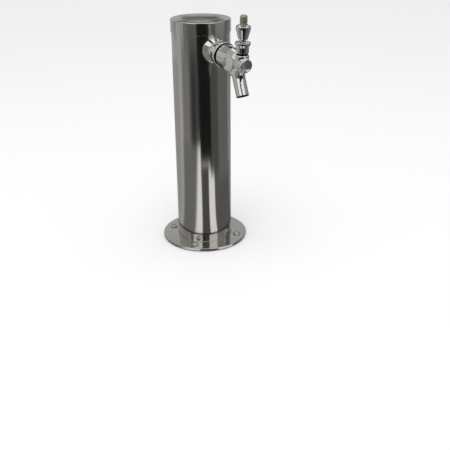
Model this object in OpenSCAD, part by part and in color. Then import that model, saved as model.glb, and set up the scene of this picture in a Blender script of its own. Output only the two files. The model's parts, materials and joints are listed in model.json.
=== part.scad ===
// Single-faucet draught tower: a polished column on a bolted flange, with one lever faucet.
// Origin: centre of the base on the counter. +Z is up and the faucet faces -Y. Millimetres.

/* [Column] */
// Outside diameter of the column tube
tube_d = 76.2; // [66:0.1:102]
// Wall of the column tube
tube_wall = 1.5; // [1:0.1:3]
// Height of the cap's rim above the counter
tower_h = 306; // [260:1:420]

/* [Base] */
// Diameter of the base flange
flange_d = 120; // [116:1:160]
// Thickness of the base flange
flange_t = 3; // [2:0.1:6]
// Rounding of the flange's upper edge
flange_edge = 0.9; // [0.3:0.1:1.5]
// Thickness of the gasket under the flange
gasket_t = 1.5; // [0.8:0.1:3]
// How far the gasket stands back from the flange's edge
gasket_inset = 1; // [0.5:0.1:3]
// Diameter of the circle that the base screws stand on
bolt_pcd = 96; // [94:0.5:100]
// Diameter of a screw hole
bolt_hole_d = 5.5; // [4:0.1:6.5]
// Number of base screws
bolt_n = 4; // [3:1:6]

/* [Cap] */
// Wall of the cap's skirt
cap_wall = 0.8; // [0.6:0.1:1.5]
// Thickness of the cap's top
cap_top_t = 1.2; // [1:0.1:2]
// Length of the cap's skirt
cap_skirt = 16; // [8:0.5:17]
// Rounding of the cap's outer edge
cap_edge = 1.1; // [0.4:0.1:1.4]
// Diameter of the raised middle of the cap
cap_crown_d = 61; // [40:1:64]
// Height of the raised middle above the rim
cap_crown_h = 1.2; // [0.5:0.1:3]

/* [Shank] */
// Distance from the cap's rim down to the shank
shank_drop = 34.5; // [34:0.5:60]
// Nose-down angle of the shank and faucet
faucet_droop = 4; // [0:0.5:5]
// Diameter of the shank's thread
shank_d = 22.2; // [21:0.1:22.8]
// Bore of the shank
shank_bore_d = 6.4; // [4:0.1:8]
// Length of shank inside the column
shank_tail = 34; // [30:0.5:36]
// Diameter of the shank's front collar
collar_d = 25.4; // [25:0.1:26]
// Thickness of the shank's front collar
collar_t = 3; // [2:0.1:4]
// Diameter of the bell's foot on the column
bell_d = 33; // [31:0.5:33.5]
// Diameter of the bell's straight collar
bell_front_d = 24.6; // [24.2:0.1:27]
// Length of the bell in front of the column
bell_len = 8.8; // [6:0.1:14]
// Length of the bell's straight collar, in front of its flare
bell_collar = 6; // [3:0.1:7]
// Length of the straight foot at the bell's sides
bell_foot = 0.8; // [0.3:0.1:1.5]
// Diameter of the backing washer inside the column
backing_d = 30; // [27:0.5:34]
// Depth of the backing washer, from the column's inside wall
backing_t = 7; // [6:0.1:9]
// Width across flats of the jam nut
jam_af = 28.6; // [27:0.1:32]
// Thickness of the jam nut
jam_t = 7; // [4:0.1:9]

/* [Coupling] */
// Outside diameter of the coupling nut's front rim
nut_d = 31.6; // [31:0.1:36]
// Outside diameter of the coupling nut behind its taper
nut_rear_d = 28; // [27.6:0.1:30]
// Length of the coupling nut's straight front rim
nut_rim = 4; // [1:0.1:6]
// Length of the coupling nut
nut_len = 15.6; // [14:0.1:18]
// Rounding of the coupling nut's rear shoulder
nut_shoulder = 2.2; // [0.6:0.1:2.4]
// Thickness of the nut's lip behind the collar
nut_lip = 2.6; // [1.5:0.1:3]
// Diameter of the thread on the back of the faucet
coupling_d = 26.4; // [26.2:0.1:26.8]
// Diameter of the spanner hole in the nut
spanner_hole_d = 4.5; // [3:0.1:5]
// Thickness of the coupling washer
coupling_washer_t = 1.6; // [1:0.1:2]

/* [Faucet body] */
// Largest diameter of the faucet's barrel
barrel_d = 28.4; // [28:0.1:30]
// Diameter of the barrel where it meets the lever's boss
barrel_neck_d = 24.8; // [23:0.1:26]
// Length of the round barrel behind its flanks
barrel_len = 18.5; // [16:0.5:20]
// Length of the bevel between the barrel and its flanks
flank_bevel = 2.4; // [1:0.1:4]
// Width across the flanks where they start
flank_w = 24.4; // [23:0.1:26]
// Width across the flanks where they meet the lever's boss
flank_neck_w = 19; // [17.4:0.1:21]
// Distance from the barrel's rear face to the lever
lever_reach = 40; // [38:0.5:44]
// Diameter of the boss under the lever
boss_d = 16.4; // [15.6:0.1:18]
// Height of the boss above the faucet's axis
boss_h = 11.2; // [10.5:0.1:12]
// Diameter of the nose
nose_d = 16.2; // [14:0.1:17]
// Distance from the lever back to the nose's straight part
nose_back = 4; // [2:0.1:8]
// Distance from the lever to the nose's front face
nose_reach = 10.8; // [10:0.1:14]
// Rounding of the nose's front edge
nose_edge = 1.6; // [0.5:0.1:2.5]
// Wall in front of the shaft's guide
nose_wall = 3; // [1.5:0.1:4]

/* [Spout] */
// Outside diameter of the spout
spout_d = 15.6; // [14.5:0.1:16.5]
// Bore of the spout
spout_bore_d = 11; // [8.5:0.1:12]
// Distance from the faucet's axis to the top of that bore
spout_bore_top = 12; // [10:0.5:16]
// Diameter of the narrower throat between that bore and the valve
spout_throat_d = 8; // [6:0.1:8.2]
// Angle of the spout, forward of straight down from the faucet
spout_angle = 28; // [20:1:32]
// Length of the spout, from the faucet's axis
spout_len = 43.9; // [38:0.1:60]
// Distance of the spout's root behind the lever
spout_setback = 15.4; // [13:0.1:17]
// Radius of the hollow sweep under the barrel
sweep_r = 8; // [6:0.5:12]

/* [Lever] */
// Height of the lever's pivot above the faucet's axis
pivot_h = 16; // [15.5:0.1:16.5]
// Largest pull of the lever, in degrees
lever_pull = 25; // [10:1:25]
// Diameter of the lever's ball
ball_d = 10; // [9.6:0.1:10.4]
// Diameter of the stem under the ball
stem_d = 4; // [3:0.1:4.2]
// Diameter of the ball tip in the shaft
tip_d = 4.8; // [4.4:0.1:5]
// Diameter of the neck above the ball
neck_d = 6.4; // [5:0.1:6.4]
// Distance from the pivot to the underside of the ferrule
ferrule_lift = 13; // [13:0.1:16]
// Length of the ferrule
ferrule_len = 16.4; // [12:0.1:22]
// Diameter of the ferrule's foot
ferrule_foot_d = 11.4; // [11.2:0.1:13]
// Diameter of the ferrule's rim
ferrule_rim_d = 17.5; // [14:0.1:20]
// Length of the ferrule's straight rim
ferrule_band = 4.6; // [2:0.1:8]
// Diameter at which the stud and the ferrule's thread meet
ferrule_thread_d = 9; // [8:0.1:9.2]
// Outside diameter of the handle stud's thread
stud_d = 9.52; // [9:0.01:9.6]
// Pitch of the handle stud's thread
stud_pitch = 1.5875; // [1:0.0005:2]
// Depth of the handle stud's thread
stud_cut = 0.9; // [0.5:0.05:1]
// Width of the flat crests of the handle stud's thread
stud_crest = 0.35; // [0.2:0.05:0.5]
// Length of the stud above the ferrule
stud_len = 10.8; // [8:0.1:24]

/* [Bonnet] */
// Outside diameter of the bonnet's lower barrel
bonnet_d = 15.4; // [15.2:0.1:16]
// Diameter of the bonnet's lip
bonnet_lip_d = 18.8; // [18.6:0.1:20]
// Height of the bonnet's top above the pivot
bonnet_rise = 9.7; // [9:0.1:9.7]
// Length of the lip's straight rim
bonnet_band = 2.2; // [1:0.1:3]
// Height of the flare under the lip
bonnet_flare = 2.7; // [1:0.1:4]
// Rounding of the lip's upper edge
bonnet_edge = 0.45; // [0.2:0.05:0.5]
// Height above the pivot at which the ball's socket opens into the mouth
throat_h = 1.7; // [1.4:0.1:2]
// Diameter of the body's thread that carries the bonnet
bonnet_thread_d = 12.8; // [12:0.1:13]
// Height of that thread above the boss
bonnet_thread_h = 2.4; // [2:0.1:2.5]
// Thickness of the friction ring under the ball
ring_t = 1.7; // [1:0.1:1.8]

/* [Valve] */
// Diameter of the valve chamber
chamber_d = 18; // [17:0.1:19]
// Diameter of the passage in front of the seat
passage_d = 12.8; // [12:0.1:13.6]
// Distance from the barrel's rear face to the seat
seat_depth = 10.8; // [10:0.1:12]
// Diameter of the seat washer
seat_washer_d = 16; // [15:0.1:16.5]
// Thickness of the seat washer
seat_washer_t = 3; // [2:0.1:3.5]
// Diameter of the shaft in its front guide
shaft_d = 8.4; // [8:0.1:8.6]
// Diameter of the shaft in the passage
rod_d = 6; // [5.2:0.1:7]
// Diameter of the shaft's rear thread
shaft_thread_d = 5; // [4:0.1:5]
// Diameter of the shaft's shoulder in front of the washer
shoulder_d = 11; // [9:0.1:11.2]
// Thickness of the shaft's shoulder
shoulder_t = 1.5; // [1:0.1:3]
// Length of the shaft's front guided part
guided_len = 20; // [18:0.5:21]
// Width across flats of the shaft's nut
shaft_nut_af = 10; // [8:0.1:12]
// Thickness of the shaft's nut
shaft_nut_t = 3.2; // [2:0.1:3.5]
// Length of thread that stands out behind the shaft's nut
thread_end = 1; // [0.5:0.1:2]

/* [Line tail] */
// Thickness of the washer behind the shank
elbow_washer_t = 1.6; // [1:0.1:2]
// Thickness of the elbow's collar
elbow_collar_t = 2.4; // [1.5:0.1:3]
// Thickness of the elbow nut's lip behind that collar
elbow_nut_lip = 2.4; // [1.5:0.1:3]
// Outside diameter of the elbow's tube
elbow_d = 10.6; // [9:0.1:12]
// Bend radius of the elbow
elbow_bend = 9; // [7:0.5:11]
// Straight length between the elbow's collar and its bend
elbow_run = 9; // [8:0.5:11]
// Width across flats of the elbow's nut
elbow_nut_af = 27; // [26:0.1:30]
// Length of the elbow's nut
elbow_nut_len = 12; // [9:0.5:13]
// Diameter of the barb's crests
barb_d = 9.4; // [8.6:0.1:10]
// Diameter of the barb's roots
barb_root_d = 7.9; // [7.4:0.1:8.2]
// Length of one barb
barb_pitch = 6; // [4:0.5:8]
// Number of barbs
barb_n = 3; // [2:1:5]

/* [Clearances] */
// Gap between pieces that seat on each other
seat_gap = 0.05; // [0.02:0.01:0.08]
// Gap around a thread or a bore that passes a fastener
thread_gap = 0.15; // [0.1:0.01:0.2]
// Running gap around the shaft and the ball
run_gap = 0.05; // [0.03:0.01:0.08]
// Free gap beside pieces that swing or slide past each other
free_gap = 0.3; // [0.25:0.01:0.4]
// Gap between the cap's skirt and the tube
cap_gap = 0.1; // [0.05:0.01:0.3]
// Visible gap between the coupling nut and the barrel
nut_gap = 0.6; // [0.3:0.1:1.2]

/* [Hidden] */
$fn = 96;
HEX = 6;
// Overrun of a cut past the face that it opens
eps = 0.5;

tube_r = tube_d / 2;
tube_in_r = tube_r - tube_wall;
tube_top = tower_h - cap_top_t - seat_gap;
shank_z = tower_h - shank_drop;

// Places along the faucet's axis, forward of the column's front
bell_depth = bell_d / 2;
bell_back = tube_r - sqrt(pow(tube_r, 2) - pow(bell_d / 2, 2));
nut_rear = bell_len + seat_gap;
nut_front = nut_rear + nut_len;
collar_rear = nut_rear + nut_lip + seat_gap;
shank_front = collar_rear + collar_t;
washer_rear = shank_front + seat_gap;
body_rear = washer_rear + coupling_washer_t + seat_gap;
barrel_rear = nut_front + nut_gap;
barrel_front = barrel_rear + barrel_len;
flank_at = barrel_front + flank_bevel;
seat_at = barrel_rear + seat_depth;
lever_at = barrel_rear + lever_reach;
neck_at = lever_at - boss_d / 2;
barrel_end = lever_at - nose_back;
nose_front = lever_at + nose_reach;
spout_at = lever_at - spout_setback;

// Half width of the barrel's bevel, which goes from the full barrel to the flanks
bevel_slope = (barrel_d - flank_w) / 2 / flank_bevel;
function bevel_half(u) = barrel_d / 2 - bevel_slope * (u - barrel_front);

// Places behind the column's front, inside the column
backing_rear = -tube_wall - backing_t;
jam_front = backing_rear - seat_gap;
shank_rear = -shank_tail;
elbow_washer_front = shank_rear - seat_gap;
elbow_collar_front = elbow_washer_front - elbow_washer_t - seat_gap;
elbow_collar_rear = elbow_collar_front - elbow_collar_t;
elbow_nut_rear = elbow_collar_rear - seat_gap - elbow_nut_lip;
bend_at = elbow_collar_rear - elbow_run;

// The sweep's centre, so that its bend meets the barrel's underside and runs into the spout
bend_r = sweep_r + spout_d / 2;
sweep_v = -barrel_d / 2 - sweep_r;
sweep_u = spout_at - (bend_r + sweep_v * sin(spout_angle)) / cos(spout_angle);

// Lever and bonnet heights above the faucet's axis
ball_r = ball_d / 2;
socket_r = ball_r + run_gap;
thread_top = boss_h + bonnet_thread_h;
ring_bottom = thread_top + seat_gap;
bonnet_bottom = boss_h + seat_gap;
bonnet_top = pivot_h + bonnet_rise;
bonnet_step = ring_bottom + ring_t + seat_gap;
ferrule_foot = pivot_h + ferrule_lift;
ferrule_top = ferrule_foot + ferrule_len;
stud_turns = floor(stud_len / stud_pitch);

// Room that the tilted neck and stem need, at a height above or below the pivot
function tilted_reach(height, d) = height * tan(lever_pull) + d / 2 / cos(lever_pull) + free_gap;
// Half length of the shaft's notch, and where it flares out for the tilted stem
notch_half = tip_d / 2 + free_gap;
notch_floor = tip_d / 2 + free_gap;
notch_flare_v = tip_d / 2 - free_gap;
notch_flare = notch_half + (shaft_d / 2 - notch_flare_v) * tan(lever_pull) + free_gap;
lever_slot_w = tip_d + 2 * free_gap;
shaft_front = nose_front - nose_wall - free_gap;
guided_rear = shaft_front - guided_len;
shaft_rear = seat_at - seat_gap - seat_washer_t - seat_gap - shaft_nut_t - thread_end;

steel = "#b9bbbd";
chrome = "#c9cccf";
brass = "#a8854a";
rubber = "#2b2b2c";
nylon = "#e6e2d6";

// Frame of the faucet: origin on the column's front, -Y forward along the faucet, +Z square to it
module on_faucet() {
    translate([0, -tube_r, shank_z])
        rotate([faucet_droop, 0, 0])
            children();
}

// Stands a shape that is drawn along +Z on the faucet's axis, pointing forward from u
module along(u) {
    translate([0, -u, 0])
        rotate([90, 0, 0])
            children();
}

// Stands a shape on the lever's axis, at its pivot
module at_pivot() {
    translate([0, -lever_at, pivot_h])
        children();
}

// Stands a shape that is drawn along +Z on the spout's axis, pointing out of the spout
module down_spout() {
    translate([0, -spout_at, 0])
        rotate([180 - spout_angle, 0, 0])
            children();
}

// Extrudes a side view, drawn as forward and up, evenly to both sides
module side_view(width) {
    rotate([90, 0, -90])
        linear_extrude(width, center = true)
            children();
}

// Part of a torus in the side view, around [u, v], between two angles above straight forward
module pipe_bend(u, v, bend, d, from, to) {
    rotate([90, 0, -90])
        translate([u, v, 0])
            rotate([0, 0, from])
                rotate_extrude(angle = to - from)
                    translate([bend, 0])
                        circle(d = d);
}

// Flat ring from z = 0
module ring(d, bore, h) {
    difference() {
        cylinder(h = h, d = d);
        translate([0, 0, -eps])
            cylinder(h = h + 2 * eps, d = bore);
    }
}

// Round plate with a rounded upper edge
module edged_disc(d, h, edge) {
    rotate_extrude() {
        square([d / 2 - edge, h]);
        square([d / 2, h - edge]);
        translate([d / 2 - edge, h - edge])
            circle(edge);
    }
}

// Hexagonal bar with a bore
module hex_ring(af, bore, h) {
    difference() {
        cylinder(h = h, d = af / cos(180 / HEX), $fn = HEX);
        translate([0, 0, -eps])
            cylinder(h = h + 2 * eps, d = bore);
    }
}

module bolt_holes() {
    for (i = [0:bolt_n - 1])
        rotate([0, 0, 360 / bolt_n * (i + 0.5)])
            translate([bolt_pcd / 2, 0, -eps])
                cylinder(h = gasket_t + flange_t + 2 * eps, d = bolt_hole_d);
}

module column_tube() {
    color(steel)
        difference() {
            translate([0, 0, gasket_t])
                ring(tube_d, 2 * tube_in_r, tube_top - gasket_t);
            on_faucet()
                along(-tube_r)
                    cylinder(h = tube_r + eps + tube_wall, d = shank_d + 2 * thread_gap);
        }
}

module base_flange() {
    color(steel)
        difference() {
            translate([0, 0, gasket_t])
                edged_disc(flange_d, flange_t, flange_edge);
            cylinder(h = gasket_t + flange_t + eps, d = tube_d + 2 * seat_gap);
            bolt_holes();
        }
}

module base_gasket() {
    color(rubber)
        difference() {
            ring(flange_d - 2 * gasket_inset, 2 * tube_in_r, gasket_t);
            bolt_holes();
        }
}

module column_cap() {
    cap_r = tube_r + cap_gap + cap_wall;
    crown_r = cap_crown_d / 2;
    color(steel)
        difference() {
            union() {
                translate([0, 0, tower_h - cap_skirt])
                    edged_disc(2 * cap_r, cap_skirt, cap_edge);
                translate([0, 0, tower_h])
                    cylinder(h = cap_crown_h, r1 = crown_r + cap_crown_h, r2 = crown_r);
            }
            translate([0, 0, tower_h - cap_skirt - eps])
                cylinder(h = cap_skirt - cap_top_t + eps, r = tube_r + cap_gap);
        }
}

module shank_bell() {
    color(chrome)
        difference() {
            on_faucet()
                along(-bell_depth)
                    rotate_extrude()
                        polygon([
                            [shank_d / 2 + thread_gap, 0],
                            [bell_d / 2, 0],
                            [bell_d / 2, bell_depth - bell_back + bell_foot],
                            [bell_front_d / 2, bell_depth + bell_len - bell_collar],
                            [bell_front_d / 2, bell_depth + bell_len],
                            [shank_d / 2 + thread_gap, bell_depth + bell_len],
                        ]);
            cylinder(h = tower_h, r = tube_r + seat_gap);
        }
}

module shank() {
    color(chrome)
        on_faucet()
            difference() {
                union() {
                    along(shank_rear)
                        cylinder(h = shank_front - shank_rear, d = shank_d);
                    along(collar_rear)
                        cylinder(h = collar_t, d = collar_d);
                }
                along(shank_rear - eps)
                    cylinder(h = shank_front - shank_rear + 2 * eps, d = shank_bore_d);
            }
}

// Saddle that fits the column's inside wall and gives the jam nut a flat seat
module backing_washer() {
    color(steel)
        intersection() {
            on_faucet()
                along(backing_rear)
                    ring(backing_d, shank_d + 2 * thread_gap, backing_t + tube_wall);
            cylinder(h = tower_h, r = tube_in_r - seat_gap);
        }
}

module jam_nut() {
    color(steel)
        on_faucet()
            along(jam_front - jam_t)
                hex_ring(jam_af, shank_d + 2 * thread_gap, jam_t);
}

module elbow_washer() {
    color(rubber)
        on_faucet()
            along(elbow_washer_front - elbow_washer_t)
                ring(shank_d - 2 * free_gap, shank_bore_d, elbow_washer_t);
}

// Hose tail: a collar under the nut, a quarter bend and a barbed end that points down
module tail_elbow() {
    leg_at = bend_at - elbow_bend;
    color(brass)
        on_faucet()
            difference() {
                union() {
                    along(elbow_collar_rear)
                        cylinder(h = elbow_collar_t, d = shank_d - 2 * free_gap);
                    along(bend_at)
                        cylinder(h = elbow_run + elbow_collar_t, d = elbow_d);
                    pipe_bend(bend_at, -elbow_bend, elbow_bend, elbow_d, 90, 180);
                    translate([0, -leg_at, -elbow_bend])
                        barbs();
                }
                along(bend_at)
                    cylinder(h = elbow_run + elbow_collar_t + eps, d = shank_bore_d);
                pipe_bend(bend_at, -elbow_bend, elbow_bend, shank_bore_d, 90, 180);
                translate([0, -leg_at, -elbow_bend - barb_n * barb_pitch - eps])
                    cylinder(h = barb_n * barb_pitch + eps, d = shank_bore_d);
            }
}

// Row of hose barbs that hangs from z = 0
module barbs() {
    for (i = [0:barb_n - 1])
        translate([0, 0, -(i + 1) * barb_pitch])
            cylinder(h = barb_pitch, d1 = barb_root_d, d2 = barb_d);
}

module elbow_nut() {
    color(brass)
        on_faucet()
            difference() {
                along(elbow_nut_rear)
                    hex_ring(elbow_nut_af, elbow_d + 2 * thread_gap, elbow_nut_len);
                along(elbow_nut_rear + elbow_nut_lip)
                    cylinder(h = elbow_nut_len, d = shank_d + 2 * thread_gap);
            }
}

module coupling_nut() {
    shoulder_r = nut_rear_d / 2 - nut_shoulder;
    color(chrome)
        on_faucet()
            difference() {
                along(0)
                    rotate_extrude() {
                        polygon([
                            [0, nut_rear],
                            [shoulder_r, nut_rear],
                            [nut_rear_d / 2, nut_rear + nut_shoulder],
                            [nut_d / 2, nut_front - nut_rim],
                            [nut_d / 2, nut_front],
                            [0, nut_front],
                        ]);
                        translate([shoulder_r, nut_rear + nut_shoulder])
                            circle(nut_shoulder);
                    }
                along(nut_rear - eps)
                    cylinder(h = nut_len, d = shank_d + 2 * thread_gap);
                along(nut_rear + nut_lip)
                    cylinder(h = nut_len, d = collar_d + 2 * thread_gap);
                along(body_rear - seat_gap)
                    cylinder(h = nut_len, d = coupling_d + 2 * thread_gap);
                along((nut_rear + nut_lip + nut_front) / 2)
                    rotate([90, 0, 0])
                        cylinder(h = nut_d, d = spanner_hole_d);
            }
}

module coupling_washer() {
    color(rubber)
        on_faucet()
            along(washer_rear)
                ring(collar_d, chamber_d, coupling_washer_t);
}

// Round barrel, cut in front by two bevels and by flanks that close towards the nose
module barrel() {
    rear_u = barrel_rear - eps;
    front_u = barrel_end + eps;
    intersection() {
        along(0)
            rotate_extrude()
                polygon([
                    [0, barrel_rear],
                    [barrel_d / 2, barrel_rear],
                    [barrel_d / 2, flank_at],
                    [barrel_neck_d / 2, neck_at],
                    [nose_d / 2, barrel_end],
                    [0, barrel_end],
                ]);
        linear_extrude(2 * barrel_d, center = true)
            polygon([
                [-bevel_half(rear_u), -rear_u],
                [bevel_half(rear_u), -rear_u],
                [flank_w / 2, -flank_at],
                [flank_neck_w / 2, -neck_at],
                [nose_d / 2, -front_u],
                [-nose_d / 2, -front_u],
                [-flank_neck_w / 2, -neck_at],
                [-flank_w / 2, -flank_at],
            ]);
    }
}

// Outside of the body: threaded end, barrel, nose, lever boss, spout and the bend behind the spout
module body_outside() {
    nose_r = nose_d / 2;
    barrel();
    along(0)
        rotate_extrude() {
            polygon([
                [0, body_rear],
                [coupling_d / 2, body_rear],
                [coupling_d / 2, barrel_rear + eps],
                [nose_r, barrel_front],
                [nose_r, nose_front - nose_edge],
                [nose_r - nose_edge, nose_front],
                [0, nose_front],
            ]);
            translate([nose_r - nose_edge, nose_front - nose_edge])
                circle(nose_edge);
        }
    translate([0, -lever_at, 0]) {
        cylinder(h = boss_h, d = boss_d);
        cylinder(h = thread_top, d = bonnet_thread_d);
    }
    down_spout()
        cylinder(h = spout_len, d = spout_d);
    pipe_bend(sweep_u, sweep_v, bend_r, spout_d, spout_angle, 90);
}

// Inside of the body: valve chamber, passage, shaft guide, lever slot, and the spout's throat and bore
module body_inside() {
    stem_rear = tilted_reach(pivot_h - boss_h, stem_d);
    along(body_rear - eps)
        cylinder(h = seat_at - body_rear + eps, d = chamber_d);
    along(seat_at - eps)
        cylinder(h = guided_rear + eps - seat_at, d = passage_d);
    along(guided_rear - eps)
        cylinder(h = nose_front - nose_wall - guided_rear + eps, d = shaft_d + 2 * run_gap);
    side_view(lever_slot_w)
        polygon([
            [lever_at + tip_d / 2 + free_gap, 0],
            [lever_at + tip_d / 2 + free_gap, boss_h],
            [lever_at - stem_rear, boss_h],
            [lever_at - tilted_reach(pivot_h, stem_d), 0],
        ]);
    translate([0, -lever_at, boss_h - free_gap])
        cylinder(h = bonnet_thread_h + free_gap + eps, r = stem_rear);
    down_spout() {
        cylinder(h = spout_bore_top + eps, d = spout_throat_d);
        translate([0, 0, spout_bore_top])
            cylinder(h = spout_len - spout_bore_top + eps, d = spout_bore_d);
    }
}

module faucet_body() {
    color(chrome)
        on_faucet()
            difference() {
                body_outside();
                body_inside();
            }
}

// Screwed collar that holds the ball down, with a flared mouth for the lever's swing
module lever_bonnet() {
    lip_r = bonnet_lip_d / 2;
    band_low = bonnet_top - bonnet_edge - bonnet_band;
    mouth_r = tilted_reach(bonnet_rise, neck_d);
    throat_r = tilted_reach(throat_h, neck_d);
    color(chrome)
        on_faucet()
            difference() {
                translate([0, -lever_at, 0])
                    rotate_extrude() {
                        polygon([
                            [0, bonnet_bottom],
                            [bonnet_d / 2, bonnet_bottom],
                            [bonnet_d / 2, band_low - bonnet_flare],
                            [lip_r, band_low],
                            [lip_r, bonnet_top - bonnet_edge],
                            [lip_r - bonnet_edge, bonnet_top],
                            [0, bonnet_top],
                        ]);
                        translate([lip_r - bonnet_edge, bonnet_top - bonnet_edge])
                            circle(bonnet_edge);
                    }
                translate([0, -lever_at, bonnet_bottom - eps])
                    cylinder(h = bonnet_step - bonnet_bottom + eps, d = bonnet_thread_d + 2 * thread_gap);
                at_pivot()
                    sphere(socket_r);
                at_pivot()
                    translate([0, 0, throat_h])
                        cylinder(h = bonnet_rise - throat_h, r1 = throat_r, r2 = mouth_r);
            }
}

module friction_ring() {
    color(nylon)
        on_faucet()
            difference() {
                translate([0, -lever_at, ring_bottom])
                    cylinder(h = ring_t, d = bonnet_thread_d);
                at_pivot()
                    sphere(socket_r);
            }
}

// Grooved rod that stands for the handle thread, with flat crests at the outside diameter
module stud_thread(h) {
    difference() {
        cylinder(h = h, d = stud_d);
        for (i = [1:stud_turns])
            translate([0, 0, h - i * stud_pitch])
                stud_groove();
    }
}

module stud_groove() {
    half = (stud_pitch - stud_crest) / 2;
    rotate_extrude()
        polygon([
            [stud_d / 2 - stud_cut, 0],
            [stud_d / 2 + eps, -half * (1 + eps / stud_cut)],
            [stud_d / 2 + eps, half * (1 + eps / stud_cut)],
        ]);
}

module lever() {
    color(brass)
        on_faucet()
            at_pivot() {
                sphere(ball_r);
                translate([0, 0, -pivot_h]) {
                    sphere(tip_d / 2);
                    cylinder(h = pivot_h, d = stem_d);
                }
                cylinder(h = ferrule_lift, d = neck_d);
                translate([0, 0, ferrule_lift]) {
                    cylinder(h = ferrule_len, d = ferrule_thread_d);
                    translate([0, 0, ferrule_len])
                        stud_thread(stud_len);
                }
            }
}

module lever_ferrule() {
    bore_r = ferrule_thread_d / 2 + seat_gap;
    color(chrome)
        on_faucet()
            translate([0, -lever_at, 0])
                rotate_extrude()
                    polygon([
                        [bore_r, ferrule_foot],
                        [ferrule_foot_d / 2, ferrule_foot],
                        [ferrule_rim_d / 2, ferrule_top - ferrule_band],
                        [ferrule_rim_d / 2, ferrule_top],
                        [bore_r, ferrule_top],
                    ]);
}

module valve_shaft() {
    color(steel)
        on_faucet()
            difference() {
                union() {
                    along(shaft_rear)
                        cylinder(h = seat_at - shaft_rear, d = shaft_thread_d);
                    along(seat_at)
                        cylinder(h = shoulder_t, d = shoulder_d);
                    along(seat_at)
                        cylinder(h = guided_rear - seat_at, d = rod_d);
                    along(guided_rear)
                        cylinder(h = guided_len, d = shaft_d);
                }
                side_view(shaft_d + 2 * eps)
                    polygon([
                        [lever_at - notch_half, -notch_floor],
                        [lever_at + notch_half, -notch_floor],
                        [lever_at + notch_half, notch_flare_v],
                        [lever_at + notch_flare, shaft_d / 2],
                        [lever_at - notch_flare, shaft_d / 2],
                        [lever_at - notch_half, notch_flare_v],
                    ]);
            }
}

module seat_washer() {
    color(rubber)
        on_faucet()
            along(seat_at - seat_gap - seat_washer_t)
                ring(seat_washer_d, shaft_thread_d + 2 * seat_gap, seat_washer_t);
}

module shaft_nut() {
    color(brass)
        on_faucet()
            along(seat_at - 2 * seat_gap - seat_washer_t - shaft_nut_t)
                hex_ring(shaft_nut_af, shaft_thread_d + 2 * seat_gap, shaft_nut_t);
}

column_tube();
base_flange();
base_gasket();
column_cap();
shank_bell();
shank();
backing_washer();
jam_nut();
elbow_washer();
tail_elbow();
elbow_nut();
coupling_nut();
coupling_washer();
faucet_body();
lever_bonnet();
friction_ring();
lever();
lever_ferrule();
valve_shaft();
seat_washer();
shaft_nut();
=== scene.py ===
"""Looks of a single-faucet draught tower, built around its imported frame.

Blender works in metres. The sizes below are millimetres, in the frame's axes: +Z up, the faucet towards -Y.
"""

import json
import math

import bmesh
import bpy
import numpy as np
from mathutils import Matrix, Vector


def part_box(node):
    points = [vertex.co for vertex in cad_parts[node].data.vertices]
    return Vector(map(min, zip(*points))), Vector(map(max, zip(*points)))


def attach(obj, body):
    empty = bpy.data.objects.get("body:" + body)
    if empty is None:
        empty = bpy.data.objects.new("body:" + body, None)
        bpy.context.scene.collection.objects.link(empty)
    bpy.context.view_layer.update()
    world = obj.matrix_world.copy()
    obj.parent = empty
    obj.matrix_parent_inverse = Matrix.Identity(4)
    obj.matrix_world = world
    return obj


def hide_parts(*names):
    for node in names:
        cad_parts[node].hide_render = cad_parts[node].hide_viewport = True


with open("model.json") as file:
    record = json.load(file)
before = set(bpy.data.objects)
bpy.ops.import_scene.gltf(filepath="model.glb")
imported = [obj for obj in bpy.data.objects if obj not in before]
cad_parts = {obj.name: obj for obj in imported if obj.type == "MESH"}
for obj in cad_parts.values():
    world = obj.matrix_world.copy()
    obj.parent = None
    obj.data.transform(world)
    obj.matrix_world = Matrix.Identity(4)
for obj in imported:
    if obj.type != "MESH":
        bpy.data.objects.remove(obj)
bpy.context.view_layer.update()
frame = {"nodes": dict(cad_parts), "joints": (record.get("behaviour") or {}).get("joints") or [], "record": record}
MM = 0.001
TINY, SAME_PLACE = 1e-9, 1e-8


# Places read from the frame

def box_mm(node):
    """Lowest and highest corner of a node, in millimetres."""
    return np.array([list(corner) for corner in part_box(node)]) / MM


MOUNTS = {mount["name"]: mount for mount in frame["record"]["mounts"]}
JOINTS = {joint["name"]: joint for joint in frame["joints"]}
TUBE_LOW, TUBE_HIGH = box_mm("column_tube")
CAP_LOW, CAP_HIGH = box_mm("column_cap")
FLANGE_LOW, FLANGE_HIGH = box_mm("base_flange")
GASKET_LOW, GASKET_HIGH = box_mm("base_gasket")
SCREW_CIRCLE_R = MOUNTS["base_bolts"]["dims"]["pcd_mm"] / 2
SCREW_COUNT = MOUNTS["base_bolts"]["dims"]["count"]

# The faucet's own frame: side, forward along its axis, and up along the lever
FAUCET_UP = np.array(MOUNTS["handle_stud"]["axis"])
FAUCET_FORWARD = np.array([0.0, -FAUCET_UP[2], FAUCET_UP[1]])
FAUCET_SIDE = np.array([1.0, 0.0, 0.0])
FAUCET_AXES = np.stack([FAUCET_SIDE, FAUCET_FORWARD, FAUCET_UP])
PIVOT = np.array(JOINTS["lever_tilt"]["pos_m"]) / MM
PIVOT_H = 16.0
LEVER_AT = 65.05
FAUCET_START = PIVOT - PIVOT_H * FAUCET_UP - LEVER_AT * FAUCET_FORWARD


# Fineness of the outlines, softness of inner edges, and where painted shade darkens the metal

AROUND = 192
ROUND_STEPS, ROUND_SHARE = 6, 0.46
SUPPORT, SUPPORT_SHARE = 0.12, 0.02
CRISP, BROKEN = 0.2, 0.3
# Painted shade: full within the first distance of a piece's inside, fading out over the second
SHADE_WITHIN, SHADE_FADE = 0.3, 0.1

# How far a cut runs past an end, a bore into the next one, and a sampled grid past its piece

PAST, OVERLAP, MARGIN = 9, 1, 1

# Sizes of the column, the cap and the base

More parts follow.
